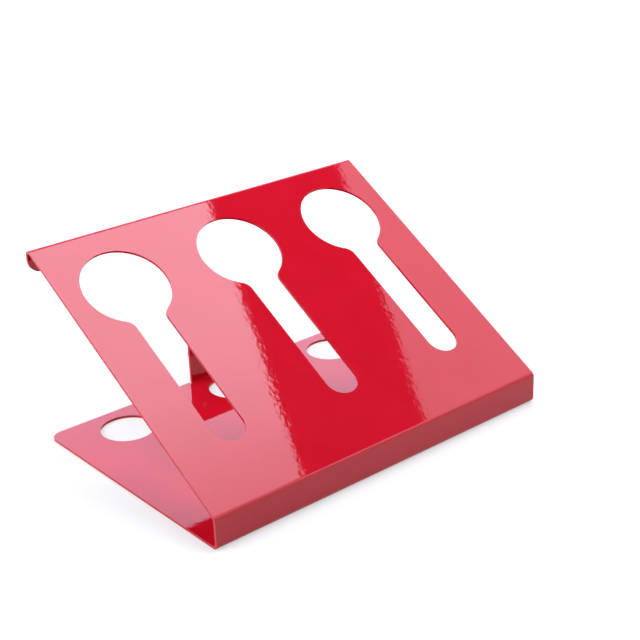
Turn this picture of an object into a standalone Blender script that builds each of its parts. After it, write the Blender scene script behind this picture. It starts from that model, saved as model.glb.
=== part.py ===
"""Magnetic power tool holder.

One laser-cut steel blank, folded into a wedge: a base plate, a short front riser, a sloped rack
with three keyhole bays, a rear flange and a bent-up tab. Pot magnets are screwed to the back of
the flange and of the tab, so the rack stands on a bench or clings to a steel wall.

Units are metres. X runs along the rack, +Y to the wall side and +Z up. The origin is the centre
of the rack's outline at floor level.
"""

import math

import bmesh
import bpy

# Bays
BAY_COUNT = 3
BAY_PITCH = 0.100
END_MARGIN = 0.049

# Folded sheet
SHEET = 0.002
BEND_INSIDE_RADIUS = 0.002
BEND_STEPS = 6
DEPTH = 0.210
FOLD_HEIGHT = 0.0235
REAR_HEIGHT = 0.152
FLANGE_DROP = 0.021
FLANGE_CORNER_RADIUS = 0.010
BASE_CORNER_RADIUS = 0.009

# Keyholes in the sloped rack, measured down the slope from its sharp rear corner
HEAD_HOLE_RADIUS = 0.033
HEAD_HOLE_FROM_REAR = 0.058
SLOT_WIDTH = 0.026
SLOT_END_FROM_REAR = 0.188
KEYHOLE_FILLET = 0.009

# Round holes in the base, measured from its rear edge
BASE_HOLE_RADIUS = 0.0205
BASE_HOLE_FROM_REAR = 0.031

# Tab bent up from the base's rear edge
TAB_WIDTH = 0.042
TAB_HEIGHT = 0.0395
TAB_CORNER_RADIUS = 0.005
RELIEF_WIDTH = 0.0010
RELIEF_BEYOND_BEND = 0.0005

# Pot magnets: a steel cup, a ring magnet potted in resin, a countersunk screw, a clinch nut
CUP_RADIUS = 0.0065
CUP_HEIGHT = 0.005
CUP_WALL = 0.0010
CUP_FLOOR = 0.002
CUP_EDGE = 0.0003
RING_RADIUS = 0.0048
RING_BORE_RADIUS = 0.0032
RESIN_DIP = 0.0002
COUNTERSINK_RADIUS = 0.0030
SCREW_HOLE_RADIUS = 0.0018
SCREW_RADIUS = 0.0015
SCREW_LENGTH = 0.006
SCREW_HEAD_LAND = 0.0002
SCREW_TIP_CHAMFER = 0.0004
SOCKET_ACROSS_CORNERS = 0.0023
SOCKET_DEPTH = 0.0011
NUT_RADIUS = 0.00315
NUT_HEIGHT = 0.0015
NUT_EDGE = 0.0003
NUT_SHANK_RADIUS = 0.0021
NUT_SHANK_SHORT = 0.0002

# Where the magnets sit
FLANGE_MAGNET_COUNT = 4
FLANGE_MAGNET_END_INSET = 0.025
FLANGE_MAGNET_RISE = 0.0067
TAB_MAGNET_HEIGHT = 0.024
# Of the tab's width that its two cups leave free, the part that lies between them
TAB_MIDDLE_SPACE_SHARE = 0.65

# Clearances and cutting
SEAT_GAP = 0.0003
FIT_GAP = 0.00015
OVERRUN = 0.002
MERGE_DISTANCE = 0.000001

# Facets
CIRCLE_STEPS = 48
SLOT_END_STEPS = 18
FILLET_STEPS = 6
CORNER_STEPS = 8
TURNED_STEPS = 24

# Derived sizes
WIDTH = 2 * END_MARGIN + (BAY_COUNT - 1) * BAY_PITCH
REAR_Y = (DEPTH - SEAT_GAP - CUP_HEIGHT) / 2
BEND_OUTSIDE_RADIUS = BEND_INSIDE_RADIUS + SHEET
NEUTRAL_RADIUS = BEND_INSIDE_RADIUS + SHEET / 2
SLOPE_ANGLE = math.atan2(REAR_HEIGHT - FOLD_HEIGHT, DEPTH)
SLOPE_LENGTH = math.hypot(REAR_HEIGHT - FOLD_HEIGHT, DEPTH)
QUARTER_TURN = math.pi / 2
HALF_TURN = math.pi
FULL_TURN = 2 * math.pi
NUT_HOLE_RADIUS = NUT_SHANK_RADIUS + FIT_GAP

# Colours as red, green, blue, alpha
PAINT_RED = (0.62, 0.012, 0.020, 1.0)
NICKEL_GREY = (0.60, 0.59, 0.57, 1.0)
MAGNET_GREY = (0.45, 0.45, 0.46, 1.0)
RESIN_BLACK = (0.03, 0.03, 0.03, 1.0)
ZINC_GREY = (0.62, 0.63, 0.65, 1.0)


def clear_scene():
    """Remove every object of the open file."""
    for item in list(bpy.data.objects):
        bpy.data.objects.remove(item, do_unlink=True)


def make_material(name, colour, roughness, metallic):
    """A Principled material with one colour."""
    material = bpy.data.materials.new(name)
    material.use_nodes = True
    shader = material.node_tree.nodes["Principled BSDF"]
    shader.inputs["Base Color"].default_value = colour
    shader.inputs["Roughness"].default_value = roughness
    shader.inputs["Metallic"].default_value = metallic
    material.diffuse_color = colour
    return material


def add_object(name, mesh, material):
    """Link a mesh as a named object, smooth on its round faces."""
    if not mesh.materials:
        mesh.materials.append(material)
    mesh.shade_smooth()
    mesh.set_sharp_from_angle(angle=math.radians(32))
    item = bpy.data.objects.new(name, mesh)
    bpy.context.scene.collection.objects.link(item)
    return item


def arc(centre, radius, start, sweep, steps):
    """Points on an arc about centre, its first and last point included."""
    points = []
    for step in range(steps + 1):
        angle = start + sweep * step / steps
        points.append((centre[0] + radius * math.cos(angle), centre[1] + radius * math.sin(angle)))
    return points


def circle(centre, radius, steps):
    """Points round a full circle."""
    return arc(centre, radius, 0, FULL_TURN, steps)[:-1]


class Bend:
    """A fold in the blank: where it starts along the blank, how far it turns, how long it is."""

    def __init__(self, start, turn):
        self.start = start
        self.turn = turn
        self.length = NEUTRAL_RADIUS * turn
        self.setback = BEND_OUTSIDE_RADIUS * math.tan(turn / 2)


class Blank:
    """The flat blank and its folds, measured forward along the blank from the base's rear edge."""

    def __init__(self):
        front_setback = BEND_OUTSIDE_RADIUS * math.tan(QUARTER_TURN / 2)
        self.front = Bend(DEPTH - front_setback, QUARTER_TURN)
        fold_turn = QUARTER_TURN - SLOPE_ANGLE
        fold_setback = BEND_OUTSIDE_RADIUS * math.tan(fold_turn / 2)
        riser_end = self.front.start + self.front.length + FOLD_HEIGHT - front_setback - fold_setback
        self.fold = Bend(riser_end, fold_turn)
        rear_turn = QUARTER_TURN + SLOPE_ANGLE
        rear_setback = BEND_OUTSIDE_RADIUS * math.tan(rear_turn / 2)
        slope_start = self.fold.start + self.fold.length
        self.rear = Bend(slope_start + SLOPE_LENGTH - fold_setback - rear_setback, rear_turn)
        self.end = self.rear.start + self.rear.length + FLANGE_DROP - rear_setback
        self.tab = Bend(0, QUARTER_TURN)
        self.tab.start = self.tab.setback
        self.tab_end = self.tab.start - self.tab.length - (TAB_HEIGHT - self.tab.setback)

    def on_slope(self, from_rear):
        """Place along the blank of a point measured down the slope from its sharp rear corner."""
        return self.rear.start + self.rear.setback - from_rear

    def on_flange(self, rise):
        """Place along the blank of a point measured up from the flange's lower edge."""
        return self.end - rise

    def on_tab(self, height):
        """Place along the blank of a point on the tab at a height above the floor."""
        return self.tab_end + (TAB_HEIGHT - height)


def bay_centres():
    """X of each bay's centre line."""
    first = -BAY_PITCH * (BAY_COUNT - 1) / 2
    return [first + BAY_PITCH * bay for bay in range(BAY_COUNT)]


def flange_magnet_places():
    """X and height of each magnet on the flange."""
    span = WIDTH - 2 * FLANGE_MAGNET_END_INSET
    height = REAR_HEIGHT - FLANGE_DROP + FLANGE_MAGNET_RISE
    places = []
    for index in range(FLANGE_MAGNET_COUNT):
        places.append((span * (index / (FLANGE_MAGNET_COUNT - 1) - 0.5), height))
    return places


def tab_magnet_places():
    """X and height of the two magnets on the tab."""
    free = TAB_WIDTH - 4 * CUP_RADIUS
    offset = CUP_RADIUS + free * TAB_MIDDLE_SPACE_SHARE / 2
    return [(-offset, TAB_MAGNET_HEIGHT), (offset, TAB_MAGNET_HEIGHT)]


def blank_outline(blank):
    """Outer edge of the blank: rounded flange and base corners, the tab's tongue, its reliefs."""
    half = WIDTH / 2
    tongue = TAB_WIDTH / 2
    relief = tongue + RELIEF_WIDTH
    relief_end = blank.tab.start + RELIEF_BEYOND_BEND
    flange = FLANGE_CORNER_RADIUS
    base = BASE_CORNER_RADIUS
    tip = TAB_CORNER_RADIUS
    tip_line = blank.tab_end + tip
    points = []
    points += arc((half - base, base), base, -QUARTER_TURN, QUARTER_TURN, CORNER_STEPS)
    points += arc((half - flange, blank.end - flange), flange, 0, QUARTER_TURN, CORNER_STEPS)
    points += arc((flange - half, blank.end - flange), flange, QUARTER_TURN, QUARTER_TURN, CORNER_STEPS)
    points += arc((base - half, base), base, HALF_TURN, QUARTER_TURN, CORNER_STEPS)
    points += [(-relief, 0), (-relief, relief_end), (-tongue, relief_end)]
    points += arc((tip - tongue, tip_line), tip, HALF_TURN, QUARTER_TURN, CORNER_STEPS)
    points += arc((tongue - tip, tip_line), tip, -QUARTER_TURN, QUARTER_TURN, CORNER_STEPS)
    points += [(tongue, relief_end), (relief, relief_end), (relief, 0)]
    return points


def keyhole_outline(blank, x):
    """A round head hole that runs into a slot with a round end, with a fillet on each side."""
    centre = (x, blank.on_slope(HEAD_HOLE_FROM_REAR))
    slot_end = (x, blank.on_slope(SLOT_END_FROM_REAR))
    half_slot = SLOT_WIDTH / 2
    reach = HEAD_HOLE_RADIUS + KEYHOLE_FILLET
    across = half_slot + KEYHOLE_FILLET
    lean = math.asin(across / reach)
    fillet_y = centre[1] - reach * math.cos(lean)
    fillet_turn = QUARTER_TURN - lean
    head_start = lean - QUARTER_TURN
    head_sweep = FULL_TURN - 2 * lean
    points = arc(centre, HEAD_HOLE_RADIUS, head_start, head_sweep, CIRCLE_STEPS)
    points += arc((x - across, fillet_y), KEYHOLE_FILLET, fillet_turn, -fillet_turn, FILLET_STEPS)[1:]
    points += arc(slot_end, half_slot, HALF_TURN, HALF_TURN, SLOT_END_STEPS)
    points += arc((x + across, fillet_y), KEYHOLE_FILLET, HALF_TURN, -fillet_turn, FILLET_STEPS)[:-1]
    return points


def blank_holes(blank):
    """Outlines of every hole in the blank."""
    loops = []
    for x in bay_centres():
        loops.append(keyhole_outline(blank, x))
        loops.append(circle((x, BASE_HOLE_FROM_REAR), BASE_HOLE_RADIUS, CIRCLE_STEPS))
    for x, height in flange_magnet_places():
        rise = height - (REAR_HEIGHT - FLANGE_DROP)
        loops.append(circle((x, blank.on_flange(rise)), NUT_HOLE_RADIUS, TURNED_STEPS))
    for x, height in tab_magnet_places():
        loops.append(circle((x, blank.on_tab(height)), NUT_HOLE_RADIUS, TURNED_STEPS))
    return loops


def flat_blank(blank):
    """The blank as a closed flat mesh, its outer face at half a sheet below zero."""
    curve = bpy.data.curves.new("blank_outline", type='CURVE')
    curve.dimensions = '2D'
    curve.fill_mode = 'BOTH'
    curve.extrude = SHEET / 2
    for loop in [blank_outline(blank)] + blank_holes(blank):
        spline = curve.splines.new('POLY')
        spline.points.add(len(loop) - 1)
        for point, (x, along) in zip(spline.points, loop):
            point.co = (x, along, 0, 1)
        spline.use_cyclic_u = True
    holder = bpy.data.objects.new("blank_outline", curve)
    bpy.context.scene.collection.objects.link(holder)
    bpy.context.view_layer.update()
    mesh = bpy.data.meshes.new_from_object(holder)
    bpy.data.objects.remove(holder, do_unlink=True)
    return mesh


def crease(body, start, length):
    """Cut edges across the blank where a fold starts, ends and steps round."""
    for step in range(BEND_STEPS + 1):
        place = start + length * step / BEND_STEPS
        geometry = body.verts[:] + body.edges[:] + body.faces[:]
        bmesh.ops.bisect_plane(
            body, geom=geometry, dist=MERGE_DISTANCE, plane_co=(0, place, 0), plane_no=(0, 1, 0))


def fold_place(along, inward, y, heading, bends):
    """Y and Z of a point of the blank after its folds.

    The walk runs along the outer face. It starts at y on the floor with the given heading, and
    each bend turns it clockwise about a centre on the inner side. Inward is the depth below the
    outer face.
    """
    z = 0
    walked = 0
    for bend in bends:
        straight = max(min(along, bend.start) - walked, 0)
        y += straight * math.cos(heading)
        z += straight * math.sin(heading)
        centre_y = y + BEND_OUTSIDE_RADIUS * math.sin(heading)
        centre_z = z - BEND_OUTSIDE_RADIUS * math.cos(heading)
        heading -= bend.turn * min(max((along - bend.start) / bend.length, 0), 1)
        y = centre_y - BEND_OUTSIDE_RADIUS * math.sin(heading)
        z = centre_z + BEND_OUTSIDE_RADIUS * math.cos(heading)
        walked = bend.start + bend.length
    rest = max(along - walked, 0)
    y += rest * math.cos(heading) + inward * math.sin(heading)
    z += rest * math.sin(heading) - inward * math.cos(heading)
    return y, z


def make_rack(material):
    """The folded sheet: base, riser, sloped rack, rear flange and tab, in one piece."""
    blank = Blank()
    mesh = flat_blank(blank)
    body = bmesh.new()
    body.from_mesh(mesh)
    bmesh.ops.remove_doubles(body, verts=body.verts, dist=MERGE_DISTANCE)
    for bend in (blank.front, blank.fold, blank.rear):
        crease(body, bend.start, bend.length)
    crease(body, blank.tab.start - blank.tab.length, blank.tab.length)
    tongue = (TAB_WIDTH + RELIEF_WIDTH) / 2
    tab_path = [Bend(0, QUARTER_TURN)]
    rack_path = [blank.front, blank.fold, blank.rear]
    for vertex in body.verts:
        x, along, level = vertex.co
        inward = level + SHEET / 2
        if abs(x) < tongue and along < blank.tab.start:
            past = blank.tab.start - along
            y, z = fold_place(past, inward, blank.tab.start - REAR_Y, HALF_TURN, tab_path)
            vertex.co = (x, -y, z)
        else:
            y, z = fold_place(along, inward, REAR_Y, HALF_TURN, rack_path)
            vertex.co = (x, y, z)
    bmesh.ops.recalc_face_normals(body, faces=body.faces)
    body.to_mesh(mesh)
    body.free()
    mesh.name = "rack_body"
    return add_object("rack_body", mesh, material)


def turned_mesh(name, profile):
    """A closed mesh turned about Z from a closed loop of radius and height pairs."""
    body = bmesh.new()
    corners = [body.verts.new((radius, 0, height)) for radius, height in profile]
    edges = []
    for index, corner in enumerate(corners):
        edges.append(body.edges.new((corner, corners[(index + 1) % len(corners)])))
    bmesh.ops.spin(
        body, geom=corners + edges, cent=(0, 0, 0), axis=(0, 0, 1), angle=FULL_TURN,
        steps=TURNED_STEPS, use_merge=True)
    bmesh.ops.remove_doubles(body, verts=body.verts, dist=MERGE_DISTANCE)
    bmesh.ops.dissolve_degenerate(body, edges=body.edges, dist=MERGE_DISTANCE)
    loose = [edge for edge in body.edges if not edge.link_faces]
    bmesh.ops.delete(body, geom=loose, context='EDGES')
    bmesh.ops.recalc_face_normals(body, faces=body.faces)
    mesh = bpy.data.meshes.new(name)
    body.to_mesh(mesh)
    body.free()
    return mesh


def cup_mesh():
    """Steel cup with a countersunk hole in its floor; height counts from the sheet's rear face."""
    back = SEAT_GAP
    floor = back + CUP_FLOOR
    rim = back + CUP_HEIGHT
    inside = CUP_RADIUS - CUP_WALL
    cone = COUNTERSINK_RADIUS - SCREW_HOLE_RADIUS
    return turned_mesh("magnet_cup", [
        (SCREW_HOLE_RADIUS, back),
        (CUP_RADIUS - CUP_EDGE, back),
        (CUP_RADIUS, back + CUP_EDGE),
        (CUP_RADIUS, rim - CUP_EDGE),
        (CUP_RADIUS - CUP_EDGE, rim),
        (inside, rim),
        (inside, floor),
        (COUNTERSINK_RADIUS, floor),
        (SCREW_HOLE_RADIUS, floor - cone),
    ])


def ring_mesh():
    """Ring magnet on the cup's floor, flush with the rim."""
    low = SEAT_GAP + CUP_FLOOR + FIT_GAP
    high = SEAT_GAP + CUP_HEIGHT
    return turned_mesh("magnet_ring", [
        (RING_BORE_RADIUS, low),
        (RING_RADIUS, low),
        (RING_RADIUS, high),
        (RING_BORE_RADIUS, high),
    ])


def resin_mesh():
    """Ring of potting resin between the magnet and the cup's wall."""
    low = SEAT_GAP + CUP_FLOOR + FIT_GAP
    high = SEAT_GAP + CUP_HEIGHT - RESIN_DIP
    inner = RING_RADIUS + FIT_GAP
    outer = CUP_RADIUS - CUP_WALL - FIT_GAP
    return turned_mesh("magnet_resin", [(inner, low), (outer, low), (outer, high), (inner, high)])


def nut_mesh():
    """Clinch nut pressed into the sheet from its inner face."""
    seat = -SHEET - SEAT_GAP
    bottom = seat - NUT_HEIGHT
    bore = SCREW_RADIUS + FIT_GAP
    return turned_mesh("clinch_nut", [
        (bore, bottom),
        (NUT_RADIUS - NUT_EDGE, bottom),
        (NUT_RADIUS, bottom + NUT_EDGE),
        (NUT_RADIUS, seat),
        (NUT_SHANK_RADIUS, seat),
        (NUT_SHANK_RADIUS, -NUT_SHANK_SHORT),
        (bore, -NUT_SHANK_SHORT),
    ])


def screw_mesh():
    """Countersunk screw with a hexagon socket, its head flush with the cup's floor."""
    top = SEAT_GAP + CUP_FLOOR
    tip = top - SCREW_LENGTH
    head = COUNTERSINK_RADIUS - FIT_GAP - SCREW_HEAD_LAND
    neck = top - SCREW_HEAD_LAND - (head - SCREW_RADIUS)
    blank_mesh = turned_mesh("screw_blank", [
        (0, tip),
        (SCREW_RADIUS - SCREW_TIP_CHAMFER, tip),
        (SCREW_RADIUS, tip + SCREW_TIP_CHAMFER),
        (SCREW_RADIUS, neck),
        (head, top - SCREW_HEAD_LAND),
        (head, top),
        (0, top),
    ])
    screw = bpy.data.objects.new("screw_blank", blank_mesh)
    bpy.context.scene.collection.objects.link(screw)
    cutter_body = bmesh.new()
    bmesh.ops.create_cone(
        cutter_body, cap_ends=True, cap_tris=False, segments=6,
        radius1=SOCKET_ACROSS_CORNERS / 2, radius2=SOCKET_ACROSS_CORNERS / 2,
        depth=SOCKET_DEPTH + OVERRUN)
    middle = top - SOCKET_DEPTH + (SOCKET_DEPTH + OVERRUN) / 2
    bmesh.ops.translate(cutter_body, verts=cutter_body.verts, vec=(0, 0, middle))
    cutter_mesh = bpy.data.meshes.new("socket_cutter")
    cutter_body.to_mesh(cutter_mesh)
    cutter_body.free()
    cutter = bpy.data.objects.new("socket_cutter", cutter_mesh)
    bpy.context.scene.collection.objects.link(cutter)
    cut = screw.modifiers.new("socket", 'BOOLEAN')
    cut.operation = 'DIFFERENCE'
    cut.object = cutter
    bpy.context.view_layer.update()
    graph = bpy.context.evaluated_depsgraph_get()
    mesh = bpy.data.meshes.new_from_object(screw.evaluated_get(graph))
    mesh.name = "countersunk_screw"
    bpy.data.objects.remove(screw, do_unlink=True)
    bpy.data.objects.remove(cutter, do_unlink=True)
    return mesh


def make_magnets(group, places, shapes):
    """Place one set of magnet pieces behind the sheet at each place."""
    for number, (x, height) in enumerate(places, start=1):
        for piece, mesh, material in shapes:
            item = add_object(f"{group}_magnet_{number}_{piece}", mesh, material)
            item.location = (x, REAR_Y, height)
            item.rotation_euler = (-QUARTER_TURN, 0, 0)


def main():
    """Build every piece of the holder."""
    clear_scene()
    red_paint = make_material("red_powder_coat", PAINT_RED, 0.16, 0.0)
    nickel = make_material("nickel_plate", NICKEL_GREY, 0.28, 1.0)
    magnet = make_material("magnet_plate", MAGNET_GREY, 0.34, 1.0)
    resin = make_material("black_resin", RESIN_BLACK, 0.55, 0.0)
    zinc = make_material("zinc_plate", ZINC_GREY, 0.32, 1.0)
    make_rack(red_paint)
    shapes = [
        ("cup", cup_mesh(), nickel),
        ("ring", ring_mesh(), magnet),
        ("resin", resin_mesh(), resin),
        ("screw", screw_mesh(), zinc),
        ("clinch_nut", nut_mesh(), red_paint),
    ]
    make_magnets("flange", flange_magnet_places(), shapes)
    make_magnets("tab", tab_magnet_places(), shapes)


main()
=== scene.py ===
"""Looks of the magnetic power tool holder.

A rack folded from one steel sheet in glossy red powder coat, with nickel-plated pot magnets
screwed to its flange and tab. Metres, +X along the rack, +Y to the wall side, +Z up.
"""

import math

import bmesh
import bpy
from mathutils import Euler, Matrix, Vector


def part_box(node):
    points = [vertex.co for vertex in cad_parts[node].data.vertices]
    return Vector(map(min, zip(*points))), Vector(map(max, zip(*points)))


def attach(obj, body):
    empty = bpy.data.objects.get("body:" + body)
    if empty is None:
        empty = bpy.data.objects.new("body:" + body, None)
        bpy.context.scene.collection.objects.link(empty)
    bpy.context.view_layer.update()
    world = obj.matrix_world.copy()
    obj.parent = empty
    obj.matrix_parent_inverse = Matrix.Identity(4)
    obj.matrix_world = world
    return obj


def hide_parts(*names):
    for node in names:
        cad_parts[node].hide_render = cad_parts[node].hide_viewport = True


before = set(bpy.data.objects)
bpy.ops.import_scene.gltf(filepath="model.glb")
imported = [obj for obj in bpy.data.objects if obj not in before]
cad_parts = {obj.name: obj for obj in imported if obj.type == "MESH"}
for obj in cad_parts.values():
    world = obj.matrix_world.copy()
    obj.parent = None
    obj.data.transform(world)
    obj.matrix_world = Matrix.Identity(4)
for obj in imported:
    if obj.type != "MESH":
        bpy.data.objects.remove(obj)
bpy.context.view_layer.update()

# The sheet's outline, read from the frame
SHEET_LOW, SHEET_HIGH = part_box("rack_body")
HALF_WIDTH = SHEET_HIGH.x
FRONT = SHEET_LOW.y
REAR = SHEET_HIGH.y
FLOOR = SHEET_LOW.z

# The folds
SHEET = 0.002
BEND_RADIUS = 0.004
BEND_STEPS = 14
FOLD_HEIGHT = 0.0235
REAR_HEIGHT = 0.152
FLANGE_DROP = 0.021
FLANGE_CORNER_RADIUS = 0.010
BASE_CORNER_RADIUS = 0.009
CORNER_STEPS = 12

# The bays
BAY_XS = (-0.100, 0.0, 0.100)
HEAD_HOLE_RADIUS = 0.033
HEAD_HOLE_FROM_REAR = 0.058
SLOT_WIDTH = 0.026
SLOT_END_FROM_REAR = 0.188
KEYHOLE_FILLET = 0.009
BASE_HOLE_RADIUS = 0.0205
BASE_HOLE_FROM_REAR = 0.031
HOLE_STEPS = 96
SLOT_END_STEPS = 36
FILLET_STEPS = 8

# The tab
TAB_WIDTH = 0.042
TAB_HEIGHT = 0.0395
TAB_CORNER_RADIUS = 0.005
RELIEF_WIDTH = 0.001
RELIEF_BEYOND_BEND = 0.0005

# The coated edge
EDGE_ROUND = 0.00045
EDGE_STEPS = 3
SHARP_ANGLE = math.radians(40)
FLAT_WEIGHT = 100

# Places nearer than these count as one, and faces flatter than this as one plane
SAME_PLACE = 0.00002
MERGE = 0.00001
FINE_MERGE = 0.000005
SAME_PLANE = math.radians(1)

# How long a cutter is, and how far under the deck's top a keyhole's cutter starts
CUTTER_LENGTH = 6 * SHEET
CUTTER_START = 4 * SHEET

SLOPE = math.atan2(REAR_HEIGHT - FOLD_HEIGHT, REAR - FRONT)
UP_SLOPE = Vector((0, math.cos(SLOPE), math.sin(SLOPE)))
DECK_NORMAL = Vector((0, -math.sin(SLOPE), math.cos(SLOPE)))
REAR_CORNER = Vector((0, REAR, REAR_HEIGHT))

# Small parts, as radii from their axis and heights from the sheet's rear face
SHEET_HOLE_RADIUS = 0.00225
SHEET_HOLE_STEPS = 32
CUP_RADIUS = 0.0065
CUP_INSIDE_RADIUS = 0.0055
CUP_DRAWN_ROUND = 0.0006
CUP_ROUND_STEPS = 5
CUP_BACK = 0.00002
CUP_FLOOR = 0.0023
CUP_RIM = 0.0053
COUNTERSINK_RADIUS = 0.0030
CUP_HOLE_RADIUS = 0.0018
RING_RADIUS = 0.0048
RING_BORE_RADIUS = 0.0032
RING_TOP = 0.00525
RESIN_TOP = 0.0051
RESIN_DISH = 0.0002
RESIN_SIDE_DISH = RESIN_DISH * 3 / 4
SCREW_HEAD_RADIUS = 0.00285
SCREW_HEAD_LAND = 0.0002
SCREW_RADIUS = 0.0015
THREAD_ROOT_RADIUS = 0.0012
THREAD_PITCH = 0.0005
SCREW_LENGTH = 0.006
SOCKET_RADIUS = 0.00115
SOCKET_DEPTH = 0.0011
SOCKET_SIDES = 6
SOCKET_POINT = 0.0003
SOCKET_POINT_SHARE = 0.2
NUT_RADIUS = 0.00315
NUT_SEAT = -0.00202
NUT_FACE = -0.0038
NUT_SHANK_RADIUS = 0.0021
NUT_SHANK_END = -0.0002
NUT_BORE_RADIUS = 0.00155
NUT_MOUTH_RADIUS = 0.00195
NUT_FILLET = 0.00025
NUT_ROUND_STEPS = 4
TURN_STEPS = 64
SMALL_ROUND = 0.0002
FINE_ROUND = 0.00005
FINE_STEPS = 2

# A face looks down if the Z of its normal is under this
FACES_DOWN = -0.9

# Each magnet's axis is read from the frame, and its screw stops at its own angle
SCREW_ANGLES = {"flange_magnet_1": 11, "flange_magnet_2": 38, "flange_magnet_3": 52,
                "flange_magnet_4": 24, "tab_magnet_1": 5, "tab_magnet_2": 47}

# The camera at the photograph's place
CAMERA_AZIMUTH = math.radians(-39.36)
CAMERA_ELEVATION = math.radians(23.41)
CAMERA_ROLL = math.radians(-2.33)
CAMERA_TARGET = Vector((0.04758, 0.02013, 0.060))
CAMERA_DISTANCE = 1.0408
CAMERA_LENS = 76.38
CAMERA_SENSOR = 36
CAMERA_CLIP = 0.01

# The floor and the backdrop
FLOOR_SIZE = 8
FLOOR_GAP = 0.0001
FLOOR_COLOUR = (0.48, 0.45, 0.42, 1)
FLOOR_LIFT_NEAR = 0.5
FLOOR_LIFT_FAR = 1.0
FLOOR_NEAR = 0.25
FLOOR_FAR = 0.7
BACKDROP_HEIGHT = 1.6
BACKDROP_SIDES = 96
WHITE = (1, 1, 1, 1)

# The world: a wall up to a height, a dark ceiling over it, and a side where the wall is brighter
WALL_TOP = 0.45
CEILING_START = 0.72
FRONT_WALL_LIGHT = 0.35
REAR_WALL_LIGHT = 0.55
CEILING_LIFT = -0.5
BRIGHT_SIDE = (-0.5, 0.87, 0)
BRIGHT_FROM = -0.1
BRIGHT_TO = 0.4
CEILING_LIGHT = 0.04

# The lamps
CEILING_HEIGHT = 1.4
COOL_LIGHT = (0.86, 0.98, 1.14)
BLUE_LIGHT = (0.82, 0.92, 1.24)

# Each softbox: its place, what it faces, its size, its glow and its tint
SOFTBOXES = {
    "left_softbox": (
        (0.385, -0.15, CEILING_HEIGHT), (0.385, -0.15, 0), (0.85, 1.1), 1, COOL_LIGHT),
    "right_softbox": (
        (1.55, -0.05, CEILING_HEIGHT), (1.55, -0.05, 0), (0.84, 0.9), 2.5, COOL_LIGHT),
    "front_softbox": ((0.75, -1.0, 1.0), (0, -0.1, 0.03), (1.2, 0.6), 2.2, COOL_LIGHT),
    "rear_softbox": ((0.75, 1.25, 0.78), (0, 0, 0.03), (1.2, 0.9), 1.9, BLUE_LIGHT),
    "side_softbox": ((-1.15, 0.45, 0.75), (0, 0, 0.03), (1.3, 1.0), 4.5, COOL_LIGHT),
}

# The left softbox's glow grows along this reach on Y, from the first level to the second
LEFT_GLOW_REACH = (-0.43, 0)
LEFT_GLOW = (3.6, 6.7)

# The part of a noise that holds nearly all of its values
NOISE_SPAN = (0.3, 0.7)

# The paint, each pattern as its scale and detail
PAINT_DEEP = (0.605, 0.0055, 0.017, 1)
PAINT_BRIGHT = (0.635, 0.0065, 0.020, 1)
PAINT_TONE = (30, 3)
PAINT_HAZE = (350, 2)
PAINT_ROUGHNESS = (0.015, 0.03)
PAINT_IOR = 1.45
PEEL = (290, 2)
PEEL_HEIGHT = 0.000019
WAVE = (22, 1)
WAVE_HEIGHT = 0.00005

# The plated and cast finishes, likewise
# The cup's nickel is painted darker than bright nickel: painted shade for the shadow the cups sit
# in, and a painted reflection of dark surroundings
NICKEL_SHADED_DARK = (0.38, 0.37, 0.35, 1)
NICKEL_SHADED_LIGHT = (0.44, 0.43, 0.41, 1)
MAGNET_DARK = (0.44, 0.44, 0.43, 1)
MAGNET_LIGHT = (0.50, 0.50, 0.49, 1)
ZINC_DARK = (0.50, 0.52, 0.55, 1)
ZINC_LIGHT = (0.62, 0.64, 0.68, 1)
RESIN_DEEP = (0.012, 0.012, 0.013, 1)
RESIN_DUSTY = (0.035, 0.034, 0.033, 1)
NICKEL_ROUGHNESS = (0.20, 0.30)
MAGNET_ROUGHNESS = (0.14, 0.22)
ZINC_ROUGHNESS = (0.24, 0.42)
PLATE_TONE = (900, 3)
PLATE_SMUDGE = (600, 2)
RING_MARK = (9000, 2)
RING_MARK_HEIGHT = 0.0000015
RESIN_TONE = (1500, 3)
RESIN_DUST = (1200, 2)
RESIN_ROUGHNESS = (0.25, 0.55)
RESIN_RIPPLE = (900, 2)
RESIN_RIPPLE_HEIGHT = 0.00003


def start_piece(name, add, **options):
    """Add a primitive as the start of a piece, with nothing else selected."""
    bpy.ops.object.select_all(action='DESELECT')
    add(**options)
    piece = bpy.context.object
    piece.name = name
    piece.data.name = name
    return piece


def edit():
    bpy.ops.object.mode_set(mode='EDIT')


def leave_edit():
    bpy.ops.object.mode_set(mode='OBJECT')


def make_active(piece):
    """Select one piece alone, for the operators that follow."""
    bpy.ops.object.select_all(action='DESELECT')
    piece.select_set(True)
    bpy.context.view_layer.objects.active = piece


def pick(kind, test):
    """In edit mode, select only the vertices, edges or faces that pass the test."""
    bpy.ops.mesh.select_mode(type=kind)
    bpy.ops.mesh.select_all(action='DESELECT')
    body = bmesh.from_edit_mesh(bpy.context.object.data)
    for part in {'VERT': body.verts, 'EDGE': body.edges, 'FACE': body.faces}[kind]:
        if test(part):
            part.select_set(True)
    body.select_flush_mode()
    bmesh.update_edit_mesh(bpy.context.object.data)


def pick_corners(test):
    """Pick the vertices whose place passes the test."""
    pick('VERT', lambda corner: test(corner.co))


def pick_edges(test):
    """Pick the edges whose two ends pass the test."""
    pick('EDGE', lambda edge: all(test(corner.co) for corner in edge.verts))


def pick_faces(test):
    """Pick the faces whose centre and normal pass the test."""
    pick('FACE', lambda face: test(face.calc_center_median(), face.normal))


def near(value, target):
    return abs(value - target) < SAME_PLACE


def merge_all(reach):
    """Join the vertices that lie closer than the reach, and leave all selected."""
    bpy.ops.mesh.select_all(action='SELECT')
    bpy.ops.mesh.remove_doubles(threshold=reach)


def spin(centre, axis, turn, steps):
    """Sweep what is selected round an axis by the right-hand rule."""
    bpy.ops.mesh.spin(steps=steps, angle=-turn, center=centre, axis=axis)


def extrude(run):
    bpy.ops.mesh.extrude_region_move(TRANSFORM_OT_translate={"value": run})


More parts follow.
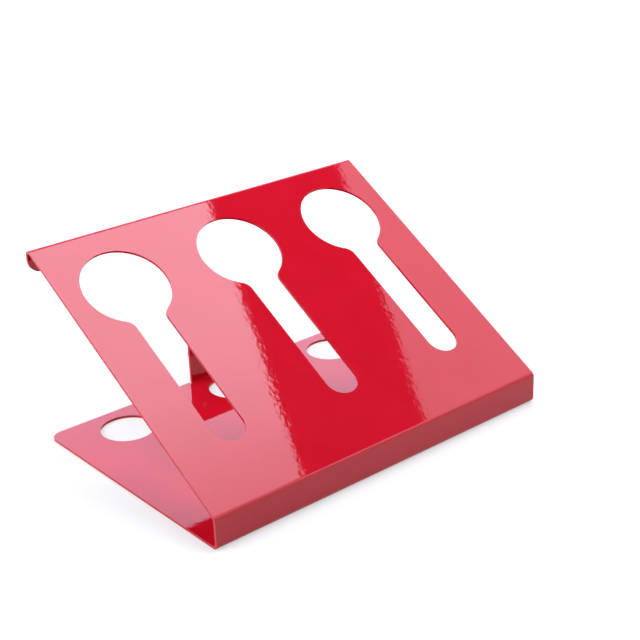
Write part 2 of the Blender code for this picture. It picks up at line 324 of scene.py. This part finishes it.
def apply_modifiers(piece):
    make_active(piece)
    for modifier in list(piece.modifiers):
        bpy.ops.object.modifier_apply(modifier=modifier.name)


def cut(piece, cutter):
    """Take a cutter's shape out of a piece, and remove the cutter."""
    modifier = piece.modifiers.new("cut", 'BOOLEAN')
    modifier.operation = 'DIFFERENCE'
    modifier.object = cutter
    apply_modifiers(piece)
    bpy.data.objects.remove(cutter, do_unlink=True)


def setback(turn):
    """Distance from a fold's sharp corner to where its bend starts."""
    return BEND_RADIUS * math.tan(turn / 2)


def fold_skin():
    """Outer skin of the folded sheet, walked from the base's rear edge to the flange."""
    quarter = math.pi / 2
    fold_turn = quarter - SLOPE
    rear_turn = quarter + SLOPE
    base_length = REAR - FRONT - setback(quarter)
    rack = start_piece("rack_sheet", bpy.ops.mesh.primitive_plane_add, size=1)
    edit()
    bpy.ops.transform.resize(value=(2 * HALF_WIDTH, base_length, 1))
    bpy.ops.transform.translate(value=(0, REAR - base_length / 2, FLOOR))
    base_front = REAR - base_length
    pick_edges(lambda place: near(place.y, base_front))
    spin((0, base_front, FLOOR + BEND_RADIUS), (-1, 0, 0), quarter, BEND_STEPS)
    riser = FOLD_HEIGHT - setback(quarter) - setback(fold_turn)
    extrude((0, 0, riser))
    riser_top = FOLD_HEIGHT - setback(fold_turn)
    spin((0, FRONT + BEND_RADIUS, riser_top), (-1, 0, 0), fold_turn, BEND_STEPS)
    deck = (REAR - FRONT) / math.cos(SLOPE) - setback(fold_turn) - setback(rear_turn)
    extrude(UP_SLOPE * deck)
    centre = REAR_CORNER - UP_SLOPE * setback(rear_turn) - DECK_NORMAL * BEND_RADIUS
    spin(centre, (-1, 0, 0), rear_turn, BEND_STEPS)
    extrude((0, 0, setback(rear_turn) - FLANGE_DROP))
    leave_edit()
    return rack


def raise_tab():
    """Notch the base's rear edge, bend the tab up between the notches and join the skin."""
    half = TAB_WIDTH / 2
    notch = half + RELIEF_WIDTH
    bend_start = REAR - BEND_RADIUS
    notch_end = bend_start - RELIEF_BEYOND_BEND
    edit()
    for place, normal in (
            ((half, 0, 0), (1, 0, 0)), ((-half, 0, 0), (1, 0, 0)),
            ((notch, 0, 0), (1, 0, 0)), ((-notch, 0, 0), (1, 0, 0)),
            ((0, notch_end, 0), (0, 1, 0)), ((0, bend_start, 0), (0, 1, 0))):
        pick_faces(lambda centre, _: near(centre.z, FLOOR))
        bpy.ops.mesh.bisect(plane_co=place, plane_no=normal)
    pick_faces(lambda centre, _: near(centre.z, FLOOR) and centre.y > notch_end
               and half < abs(centre.x) < notch)
    bpy.ops.mesh.delete(type='FACE')
    pick_faces(lambda centre, _: near(centre.z, FLOOR) and centre.y > bend_start
               and abs(centre.x) < half)
    bpy.ops.mesh.delete(type='FACE')
    pick_edges(lambda place: near(place.y, bend_start) and near(place.z, FLOOR)
               and abs(place.x) < half + SAME_PLACE)
    spin((0, bend_start, FLOOR + BEND_RADIUS), (1, 0, 0), math.pi / 2, BEND_STEPS)
    extrude((0, 0, TAB_HEIGHT - BEND_RADIUS))
    merge_all(MERGE)
    bpy.ops.mesh.dissolve_limited(angle_limit=SAME_PLANE)
    bpy.ops.mesh.normals_make_consistent(inside=False)
    leave_edit()


def round_corners():
    """Round the plan corners of the base, the flange and the tab, while they're one skin."""
    flange_edge = REAR_HEIGHT - FLANGE_DROP
    edit()
    for radius, test in (
            (BASE_CORNER_RADIUS, lambda place: near(abs(place.x), HALF_WIDTH)
             and near(place.y, REAR) and near(place.z, FLOOR)),
            (FLANGE_CORNER_RADIUS, lambda place: near(abs(place.x), HALF_WIDTH)
             and near(place.y, REAR) and near(place.z, flange_edge)),
            (TAB_CORNER_RADIUS, lambda place: near(abs(place.x), TAB_WIDTH / 2)
             and near(place.z, TAB_HEIGHT))):
        pick_corners(test)
        bpy.ops.mesh.bevel(offset=radius, segments=CORNER_STEPS, affect='VERTICES')
    leave_edit()


def start_vertex(name, place):
    """A piece of one vertex, as the start of an outline."""
    piece = start_piece(name, bpy.ops.mesh.primitive_plane_add, size=SHEET)
    edit()
    bpy.ops.mesh.select_mode(type='VERT')
    bpy.ops.mesh.select_all(action='SELECT')
    bpy.ops.mesh.merge(type='CENTER')
    bpy.ops.transform.translate(value=place)
    return piece


def keyhole_cutter(x):
    """A keyhole's outline, drawn by arcs and straight runs, and pushed through the deck."""
    half = SLOT_WIDTH / 2
    reach = HEAD_HOLE_RADIUS + KEYHOLE_FILLET
    across = half + KEYHOLE_FILLET
    lean = math.asin(across / reach)
    fillet_y = -reach * math.cos(lean)
    slot_end = HEAD_HOLE_FROM_REAR - SLOT_END_FROM_REAR
    up = (0, 0, 1)
    cutter = start_vertex("keyhole_cutter", (half, slot_end, 0))
    extrude((0, fillet_y - slot_end, 0))
    spin((across, fillet_y, 0), up, -(math.pi / 2 - lean), FILLET_STEPS)
    spin((0, 0, 0), up, 2 * math.pi - 2 * lean, HOLE_STEPS)
    spin((-across, fillet_y, 0), up, -(math.pi / 2 - lean), FILLET_STEPS)
    extrude((0, slot_end - fillet_y, 0))
    spin((0, slot_end, 0), up, math.pi, SLOT_END_STEPS)
    merge_all(MERGE)
    bpy.ops.mesh.edge_face_add()
    extrude((0, 0, CUTTER_LENGTH))
    bpy.ops.mesh.select_all(action='SELECT')
    bpy.ops.mesh.normals_make_consistent(inside=False)
    leave_edit()
    head = REAR_CORNER - UP_SLOPE * HEAD_HOLE_FROM_REAR - DECK_NORMAL * CUTTER_START
    cutter.rotation_euler = (SLOPE, 0, 0)
    cutter.location = (x, head.y, head.z)
    return cutter


def round_cutter(place, radius, axis, steps):
    """A cylinder across the sheet, along Z or along Y."""
    turn = (0, 0, 0) if axis == 'Z' else (math.pi / 2, 0, 0)
    return start_piece(
        "round_cutter", bpy.ops.mesh.primitive_cylinder_add, vertices=steps, radius=radius,
        depth=CUTTER_LENGTH, location=place, rotation=turn)


def magnet_centre(name):
    """Axis of one magnet, at the sheet's rear face."""
    low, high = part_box(name + "_cup")
    return Vector(((low.x + high.x) / 2, REAR, (low.z + high.z) / 2))


def finish_edges(piece, width, steps):
    """Round the sharp edges and keep flat faces flat in the gloss."""
    bevel = piece.modifiers.new("edges", 'BEVEL')
    bevel.width = width
    bevel.segments = steps
    bevel.limit_method = 'ANGLE'
    bevel.angle_limit = SHARP_ANGLE
    bevel.miter_outer = 'MITER_ARC'
    apply_modifiers(piece)
    bpy.ops.object.shade_smooth()
    weighted = piece.modifiers.new("flats", 'WEIGHTED_NORMAL')
    weighted.weight = FLAT_WEIGHT
    weighted.keep_sharp = True
    apply_modifiers(piece)


def make_rack():
    """The folded sheet with its holes and softly rounded, coated edges."""
    rack = fold_skin()
    raise_tab()
    round_corners()
    wall = rack.modifiers.new("wall", 'SOLIDIFY')
    wall.thickness = SHEET
    wall.offset = -1
    wall.use_even_offset = True
    apply_modifiers(rack)
    for x in BAY_XS:
        cut(rack, keyhole_cutter(x))
        place = (x, REAR - BASE_HOLE_FROM_REAR, FLOOR)
        cut(rack, round_cutter(place, BASE_HOLE_RADIUS, 'Z', HOLE_STEPS))
    for name in SCREW_ANGLES:
        cut(rack, round_cutter(magnet_centre(name), SHEET_HOLE_RADIUS, 'Y', SHEET_HOLE_STEPS))
    finish_edges(rack, EDGE_ROUND, EDGE_STEPS)
    return rack


def turned(name, outline, closed):
    """Draw an outline of radius and height pairs by extruding, and spin it full round Z."""
    piece = start_vertex(name, (outline[0][0], 0, outline[0][1]))
    ends = outline[1:] + outline[:1] if closed else outline[1:]
    for here, after in zip(outline, ends):
        extrude((after[0] - here[0], 0, after[1] - here[1]))
    merge_all(FINE_MERGE)
    spin((0, 0, 0), (0, 0, 1), 2 * math.pi, TURN_STEPS)
    merge_all(FINE_MERGE)
    bpy.ops.mesh.normals_make_consistent(inside=False)
    leave_edit()
    return piece


def round_rim(height, radius, width, steps):
    """Round one circular edge of the part just turned."""
    edit()
    pick_edges(lambda place: near(place.z, height)
               and near(math.hypot(place.x, place.y), radius))
    bpy.ops.mesh.bevel(offset=width, segments=steps)
    leave_edit()


def make_cup():
    """Drawn steel cup: rounded at its back edge, countersunk through its floor."""
    piece = turned("pot_cup", [
        (CUP_HOLE_RADIUS, CUP_BACK),
        (CUP_RADIUS, CUP_BACK),
        (CUP_RADIUS, CUP_RIM),
        (CUP_INSIDE_RADIUS, CUP_RIM),
        (CUP_INSIDE_RADIUS, CUP_FLOOR),
        (COUNTERSINK_RADIUS, CUP_FLOOR),
        (CUP_HOLE_RADIUS, CUP_FLOOR - COUNTERSINK_RADIUS + CUP_HOLE_RADIUS),
    ], closed=True)
    round_rim(CUP_BACK, CUP_RADIUS, CUP_DRAWN_ROUND, CUP_ROUND_STEPS)
    finish_edges(piece, SMALL_ROUND, EDGE_STEPS)
    return piece


def make_ring():
    """Ring magnet with softened edges, a hair below the cup's rim."""
    piece = turned("ring_magnet", [
        (RING_BORE_RADIUS, CUP_FLOOR),
        (RING_RADIUS, CUP_FLOOR),
        (RING_RADIUS, RING_TOP),
        (RING_BORE_RADIUS, RING_TOP),
    ], closed=True)
    finish_edges(piece, SMALL_ROUND, EDGE_STEPS)
    return piece


def make_resin():
    """Potting resin between magnet and cup, its top drawn up at both walls."""
    middle = (RING_RADIUS + CUP_INSIDE_RADIUS) / 2
    side = (CUP_INSIDE_RADIUS - RING_RADIUS) / 4
    piece = turned("potting_resin", [
        (RING_RADIUS, CUP_FLOOR),
        (CUP_INSIDE_RADIUS, CUP_FLOOR),
        (CUP_INSIDE_RADIUS, RESIN_TOP),
        (middle + side, RESIN_TOP - RESIN_SIDE_DISH),
        (middle, RESIN_TOP - RESIN_DISH),
        (middle - side, RESIN_TOP - RESIN_SIDE_DISH),
        (RING_RADIUS, RESIN_TOP),
    ], closed=True)
    finish_edges(piece, FINE_ROUND, EDGE_STEPS)
    return piece


def make_screw():
    """Countersunk screw: flat head with a pointed hexagon socket, and a cut thread."""
    tip = CUP_FLOOR - SCREW_LENGTH
    neck = CUP_FLOOR - SCREW_HEAD_LAND - SCREW_HEAD_RADIUS + SCREW_RADIUS
    outline = [(0, tip), (THREAD_ROOT_RADIUS, tip)]
    for turn in range(int((neck - tip) / THREAD_PITCH)):
        height = tip + turn * THREAD_PITCH
        outline.append((SCREW_RADIUS, height + THREAD_PITCH / 2))
        outline.append((THREAD_ROOT_RADIUS, height + THREAD_PITCH))
    outline += [
        (SCREW_RADIUS, neck),
        (SCREW_HEAD_RADIUS, CUP_FLOOR - SCREW_HEAD_LAND),
        (SCREW_HEAD_RADIUS, CUP_FLOOR),
        (0, CUP_FLOOR),
    ]
    piece = turned("socket_screw", outline, closed=False)
    cutter = start_piece("socket_cutter", bpy.ops.mesh.primitive_cylinder_add,
                         vertices=SOCKET_SIDES, radius=SOCKET_RADIUS,
                         depth=2 * SOCKET_DEPTH, location=(0, 0, CUP_FLOOR))
    edit()
    pick_faces(lambda _, normal: normal.z < FACES_DOWN)
    extrude((0, 0, -SOCKET_POINT))
    bpy.ops.transform.resize(value=(SOCKET_POINT_SHARE, SOCKET_POINT_SHARE, 1))
    leave_edit()
    cut(piece, cutter)
    finish_edges(piece, FINE_ROUND, FINE_STEPS)
    return piece


def make_nut():
    """Clinch nut painted over with the sheet: a low drum, a chamfered mouth, a paint fillet."""
    piece = turned("painted_nut", [
        (NUT_MOUTH_RADIUS, NUT_FACE),
        (NUT_RADIUS, NUT_FACE),
        (NUT_RADIUS, NUT_SEAT - NUT_FILLET),
        (NUT_RADIUS + NUT_FILLET / 3, NUT_SEAT - NUT_FILLET / 3),
        (NUT_RADIUS + NUT_FILLET, NUT_SEAT),
        (NUT_SHANK_RADIUS, NUT_SEAT),
        (NUT_SHANK_RADIUS, NUT_SHANK_END),
        (NUT_BORE_RADIUS, NUT_SHANK_END),
        (NUT_BORE_RADIUS, NUT_FACE + NUT_MOUTH_RADIUS - NUT_BORE_RADIUS),
    ], closed=True)
    round_rim(NUT_FACE, NUT_RADIUS, SMALL_ROUND, NUT_ROUND_STEPS)
    finish_edges(piece, FINE_ROUND, FINE_STEPS)
    return piece


def unroll_radius(piece):
    """Write the radius and height of each corner as its UV, for marks that run round."""
    layer = piece.data.uv_layers[0]
    for loop in piece.data.loops:
        place = piece.data.vertices[loop.vertex_index].co
        layer.data[loop.index].uv = (math.hypot(place.x, place.y), place.z)


def place_copy(pattern, name, centre, turn):
    """Copy a small part with a mesh of its own, and set it on the sheet's rear face."""
    piece = pattern.copy()
    piece.data = pattern.data.copy()
    piece.name = name
    piece.data.name = name
    bpy.context.scene.collection.objects.link(piece)
    make_active(piece)
    to_wall = Matrix.Rotation(-math.pi / 2, 4, 'X')
    own_turn = Matrix.Rotation(turn, 4, 'Z')
    piece.matrix_world = Matrix.Translation(centre) @ to_wall @ own_turn
    bpy.ops.object.transform_apply(location=True, rotation=True, scale=True)
    return piece


def dress(piece, node, finish):
    """Give a piece its finish, and let it stand for its node of the frame."""
    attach(piece, "root")
    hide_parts(node)
    piece.data.materials.clear()
    piece.data.materials.append(finish)


def make_small_parts(parts):
    """Copy each small part to the six magnets, then remove the pattern."""
    for pattern, node_end, piece_end, slot, finish in parts:
        unroll_radius(pattern)
        for name, angle in SCREW_ANGLES.items():
            piece = place_copy(pattern, f"{name}_{piece_end}", magnet_centre(name),
                               math.radians(angle))
            dress(piece, f"{name}_{node_end}", finish)
        bpy.data.objects.remove(pattern, do_unlink=True)


def set_camera():
    """The photograph's viewpoint: turned about Z, raised, and rolled about its own axis."""
    data = bpy.data.cameras.new("camera")
    data.lens = CAMERA_LENS
    data.sensor_width = CAMERA_SENSOR
    data.clip_start = CAMERA_CLIP
    camera = bpy.data.objects.new("camera", data)
    bpy.context.scene.collection.objects.link(camera)
    turn = Euler((math.pi / 2 - CAMERA_ELEVATION, 0, CAMERA_AZIMUTH)).to_matrix()
    place = CAMERA_TARGET + turn @ Vector((0, 0, CAMERA_DISTANCE))
    roll = Matrix.Rotation(CAMERA_ROLL, 4, 'Z')
    camera.matrix_world = Matrix.Translation(place) @ turn.to_4x4() @ roll
    bpy.context.scene.camera = camera


def ramp(tree, value, reach, levels, ease='SMOOTHSTEP'):
    """A node that goes from the first level to the second as a value runs along its reach."""
    step = tree.nodes.new("ShaderNodeMapRange")
    step.interpolation_type = ease
    for key, number in zip(("From Min", "From Max", "To Min", "To Max"), (*reach, *levels)):
        step.inputs[key].default_value = number
    tree.links.new(value, step.inputs["Value"])
    return step


def set_world():
    """A studio wall all round, brighter behind and to the left, under a dark ceiling."""
    world = bpy.data.worlds.new("studio")
    world.use_nodes = True
    tree = world.node_tree
    nodes, links = tree.nodes, tree.links
    nodes.clear()
    place = nodes.new("ShaderNodeTexCoord")
    parts = nodes.new("ShaderNodeSeparateXYZ")
    links.new(place.outputs["Generated"], parts.inputs[0])
    side = nodes.new("ShaderNodeVectorMath")
    side.operation = 'DOT_PRODUCT'
    side.inputs[1].default_value = BRIGHT_SIDE
    links.new(place.outputs["Generated"], side.inputs[0])
    wall_light = ramp(tree, side.outputs["Value"], (BRIGHT_FROM, BRIGHT_TO),
                      (FRONT_WALL_LIGHT, REAR_WALL_LIGHT))
    depth = nodes.new("ShaderNodeMath")
    depth.operation = 'ABSOLUTE'
    links.new(parts.outputs["Y"], depth.inputs[0])
    height = nodes.new("ShaderNodeMath")
    height.operation = 'MULTIPLY_ADD'
    height.inputs[1].default_value = CEILING_LIFT
    links.new(depth.outputs[0], height.inputs[0])
    links.new(parts.outputs["Z"], height.inputs[2])
    level = ramp(tree, height.outputs[0], (WALL_TOP, CEILING_START), (0, CEILING_LIGHT))
    links.new(wall_light.outputs["Result"], level.inputs["To Min"])
    wall = nodes.new("ShaderNodeBackground")
    wall.inputs["Color"].default_value = (*COOL_LIGHT, 1)
    links.new(level.outputs["Result"], wall.inputs["Strength"])
    out = nodes.new("ShaderNodeOutputWorld")
    links.new(wall.outputs[0], out.inputs["Surface"])
    bpy.context.scene.world = world


def softbox(name, place, aim, size, glow, tint):
    """A softbox with an even glow."""
    data = bpy.data.lights.new(name, 'AREA')
    data.shape = 'RECTANGLE'
    data.size, data.size_y = size
    data.energy = glow * math.pi * size[0] * size[1]
    data.color = tint
    lamp = bpy.data.objects.new(name, data)
    lamp.location = place
    lamp.rotation_euler = (Vector(aim) - Vector(place)).to_track_quat('-Z', 'Y').to_euler()
    lamp.visible_camera = False
    bpy.context.scene.collection.objects.link(lamp)


def grow_along_y(name, reach, glow):
    """Multiply a softbox's glow by a level that grows along its reach on Y."""
    data = bpy.data.lights[name]
    data.use_nodes = True
    tree = data.node_tree
    spot = tree.nodes.new("ShaderNodeNewGeometry")
    parts = tree.nodes.new("ShaderNodeSeparateXYZ")
    tree.links.new(spot.outputs["Position"], parts.inputs[0])
    level = ramp(tree, parts.outputs["Y"], reach, glow)
    tree.links.new(level.outputs["Result"], tree.nodes["Emission"].inputs["Strength"])


def light_studio():
    """Two softboxes overhead with a dark gap between, and one each in front, behind and left."""
    for name, settings in SOFTBOXES.items():
        softbox(name, *settings)
    grow_along_y("left_softbox", LEFT_GLOW_REACH, LEFT_GLOW)


def empty_material(name):
    """A new material without any nodes."""
    material = bpy.data.materials.new(name)
    material.use_nodes = True
    material.node_tree.nodes.clear()
    return material


def make_floor():
    """A pale plain floor, white round the object, that keeps the object's shadow."""
    floor = start_piece("floor", bpy.ops.mesh.primitive_plane_add, size=FLOOR_SIZE,
                        location=(0, 0, FLOOR - FLOOR_GAP))
    material = empty_material("pale_floor")
    tree = material.node_tree
    nodes, links = tree.nodes, tree.links

    def maths(operation, first, second):
        step = nodes.new("ShaderNodeMath")
        step.operation = operation
        links.new(first, step.inputs[0])
        links.new(second, step.inputs[1])
        return step.outputs[0]

    paths = nodes.new("ShaderNodeLightPath")
    seen = maths('MAXIMUM', paths.outputs["Is Camera Ray"], paths.outputs["Is Glossy Ray"])
    seen = maths('MAXIMUM', seen, paths.outputs["Is Transmission Ray"])
    place = nodes.new("ShaderNodeTexCoord")
    away = nodes.new("ShaderNodeVectorMath")
    away.operation = 'LENGTH'
    links.new(place.outputs["Object"], away.inputs[0])
    rise = ramp(tree, away.outputs["Value"], (FLOOR_NEAR, FLOOR_FAR),
                (FLOOR_LIFT_NEAR, FLOOR_LIFT_FAR))
    lift = nodes.new("ShaderNodeEmission")
    lift.inputs["Color"].default_value = WHITE
    links.new(maths('MULTIPLY', seen, rise.outputs["Result"]), lift.inputs["Strength"])
    matt = nodes.new("ShaderNodeBsdfDiffuse")
    matt.inputs["Color"].default_value = FLOOR_COLOUR
    both = nodes.new("ShaderNodeAddShader")
    out = nodes.new("ShaderNodeOutputMaterial")
    links.new(matt.outputs[0], both.inputs[0])
    links.new(lift.outputs[0], both.inputs[1])
    links.new(both.outputs[0], out.inputs["Surface"])
    floor.data.materials.append(material)


def make_backdrop():
    """A white wall round the floor, for the camera and for reflections, that blocks no light."""
    backdrop = start_piece("backdrop", bpy.ops.mesh.primitive_cylinder_add,
                           vertices=BACKDROP_SIDES, radius=FLOOR_SIZE / 2,
                           depth=BACKDROP_HEIGHT, end_fill_type='NOTHING',
                           location=(0, 0, FLOOR - FLOOR_GAP + BACKDROP_HEIGHT / 2))
    material = empty_material("white_backdrop")
    nodes, links = material.node_tree.nodes, material.node_tree.links
    glow = nodes.new("ShaderNodeEmission")
    glow.inputs["Color"].default_value = WHITE
    out = nodes.new("ShaderNodeOutputMaterial")
    links.new(glow.outputs[0], out.inputs["Surface"])
    backdrop.data.materials.append(material)
    backdrop.visible_diffuse = False
    backdrop.visible_shadow = False


class Finish:
    """A material under way: its shader, and patterns that read the piece's own coordinates."""

    def __init__(self, name):
        self.material = bpy.data.materials.new(name)
        self.material.use_nodes = True
        self.tree = self.material.node_tree
        self.nodes, self.links = self.tree.nodes, self.tree.links
        self.shader = self.nodes["Principled BSDF"]
        self.place = self.nodes.new("ShaderNodeTexCoord")

    def noise(self, scale, detail, reads="Object"):
        """A noise pattern on the piece's own coordinates, or on its UV."""
        pattern = self.nodes.new("ShaderNodeTexNoise")
        pattern.inputs["Scale"].default_value = scale
        pattern.inputs["Detail"].default_value = detail
        self.links.new(self.place.outputs[reads], pattern.inputs["Vector"])
        return pattern.outputs["Fac"]

    def span(self, value, low, high):
        """A pattern's middle part, spread from low to high."""
        return ramp(self.tree, value, NOISE_SPAN, (low, high), 'LINEAR').outputs["Result"]

    def colour(self, value, first, second):
        tone = self.nodes.new("ShaderNodeMix")
        tone.data_type = 'RGBA'
        tone.inputs["A"].default_value = first
        tone.inputs["B"].default_value = second
        self.links.new(self.span(value, 0, 1), tone.inputs["Factor"])
        self.links.new(tone.outputs["Result"], self.shader.inputs["Base Color"])

    def roughness(self, value, low, high):
        self.links.new(self.span(value, low, high), self.shader.inputs["Roughness"])

    def bump(self, value, height, under=None):
        """Raise the surface by a pattern, over the bump below it, and return its normal."""
        raised = self.nodes.new("ShaderNodeBump")
        raised.inputs["Distance"].default_value = height
        self.links.new(value, raised.inputs["Height"])
        if under:
            self.links.new(under, raised.inputs["Normal"])
        self.links.new(raised.outputs["Normal"], self.shader.inputs["Normal"])
        return raised.outputs["Normal"]


def red_powder_coat():
    """Glossy red powder coat: orange peel over a slow wave, a gloss and red that vary a little."""
    paint = Finish("red_powder_coat")
    paint.colour(paint.noise(*PAINT_TONE), PAINT_DEEP, PAINT_BRIGHT)
    paint.roughness(paint.noise(*PAINT_HAZE), *PAINT_ROUGHNESS)
    wave = paint.bump(paint.noise(*WAVE), WAVE_HEIGHT)
    paint.bump(paint.noise(*PEEL), PEEL_HEIGHT, wave)
    paint.shader.inputs["IOR"].default_value = PAINT_IOR
    return paint.material


def plated_steel(name, dark, light, roughness):
    """Plated steel with fine turned rings, and smudges that dull its gloss."""
    plate = Finish(name)
    plate.colour(plate.noise(*PLATE_TONE), dark, light)
    plate.roughness(plate.noise(*PLATE_SMUDGE), *roughness)
    plate.bump(plate.noise(*RING_MARK, "UV"), RING_MARK_HEIGHT)
    plate.shader.inputs["Metallic"].default_value = 1
    return plate.material


def black_resin():
    """Cast black resin, glossy in the middle and a little dusty."""
    resin = Finish("black_resin")
    resin.colour(resin.noise(*RESIN_TONE), RESIN_DEEP, RESIN_DUSTY)
    resin.roughness(resin.noise(*RESIN_DUST), *RESIN_ROUGHNESS)
    resin.bump(resin.noise(*RESIN_RIPPLE), RESIN_RIPPLE_HEIGHT)
    return resin.material


red_paint = red_powder_coat()
rack = make_rack()
dress(rack, "rack_body", red_paint)
make_small_parts([
    # The cups get the darkened nickel, which is painted shade and painted dark reflection
    (make_cup(), "cup", "drawn_cup", "nickel_steel",
     plated_steel("nickel_plate", NICKEL_SHADED_DARK, NICKEL_SHADED_LIGHT, NICKEL_ROUGHNESS)),
    (make_ring(), "ring", "ring_magnet", "magnet_nickel",
     plated_steel("magnet_plate", MAGNET_DARK, MAGNET_LIGHT, MAGNET_ROUGHNESS)),
    (make_resin(), "resin", "potting", "black_resin", black_resin()),
    (make_screw(), "screw", "socket_screw", "zinc_steel",
     plated_steel("zinc_plate", ZINC_DARK, ZINC_LIGHT, ZINC_ROUGHNESS)),
    (make_nut(), "clinch_nut", "painted_nut", "red_paint", red_paint),
])
bpy.context.scene.view_settings.view_transform = 'Standard'
set_camera()
set_world()
make_floor()
make_backdrop()
light_studio()
